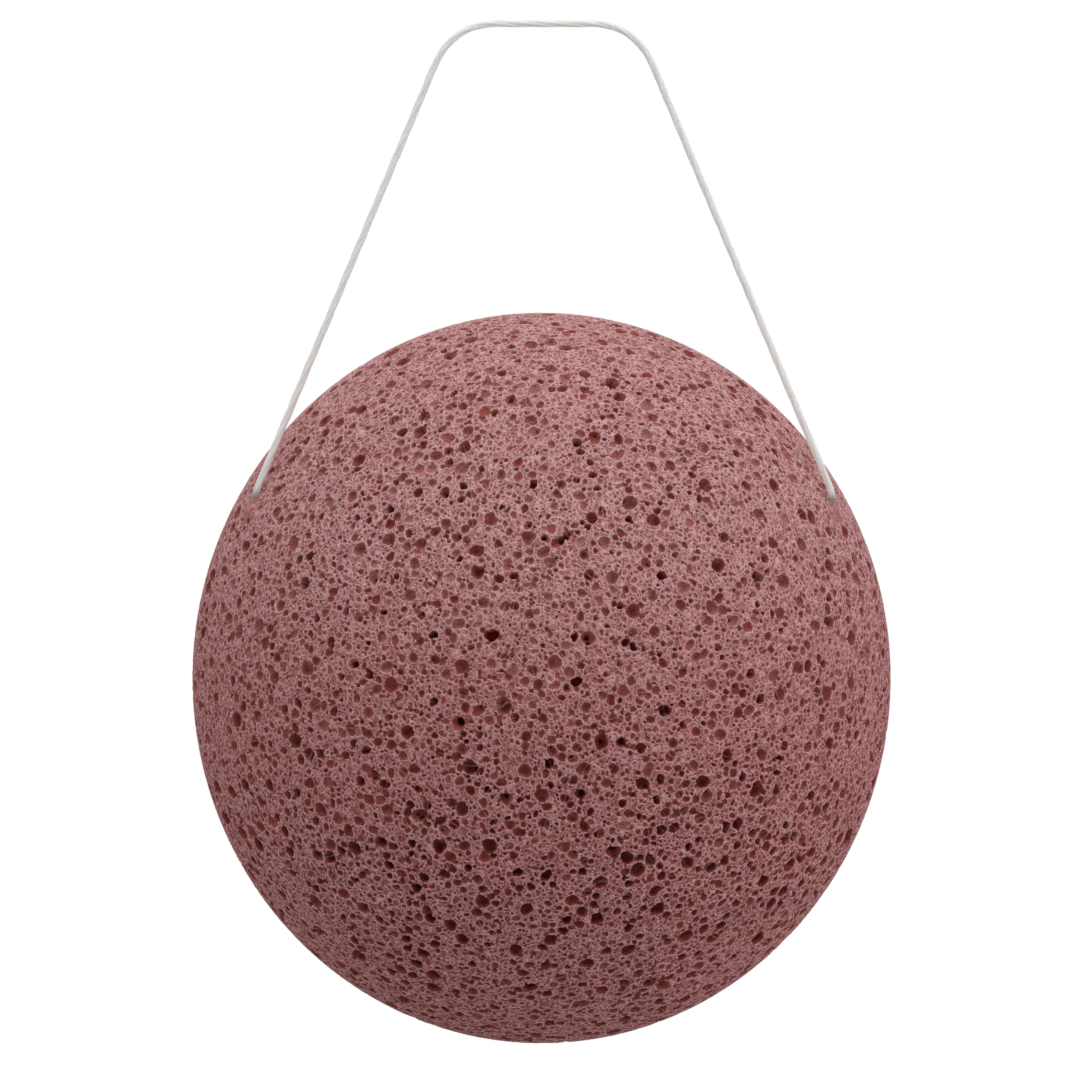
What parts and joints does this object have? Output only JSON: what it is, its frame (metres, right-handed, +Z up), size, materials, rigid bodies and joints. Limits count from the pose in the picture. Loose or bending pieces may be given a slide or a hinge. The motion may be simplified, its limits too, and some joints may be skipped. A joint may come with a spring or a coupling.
{
  "type": "konjac sponge",
  "caption": "Half-ball konjac facial sponge with a porous domed face and a flat back, swinging on a white string loop that is threaded through it and that it hangs from to dry.",
  "frame": {"origin": "hang point: under the string, at the middle of the loop's top", "axes": "+Z up, as the sponge hangs; +Y backwards, out of the flat back, so the dome faces -Y; the string passes through the sponge along X"},
  "size_m": [0.078, 0.036, 0.114],
  "materials": {
    "konjac_foam": "matte",
    "cotton_string": "matte"
  },
  "bodies": {
    "string": {"string_loop": "cotton_string", "string_inner_left": "cotton_string", "string_inner_right": "cotton_string", "string_knot": "cotton_string"},
    "sponge": {"sponge_body": "konjac_foam"}
  },
  "joints": [
    {"name": "sponge_swing", "type": "hinge", "parent": "string", "child": "sponge", "pos_m": [0, 0, -0.05323], "axis": [1, 0, 0], "range_deg": [-110, 20]}
  ]
}
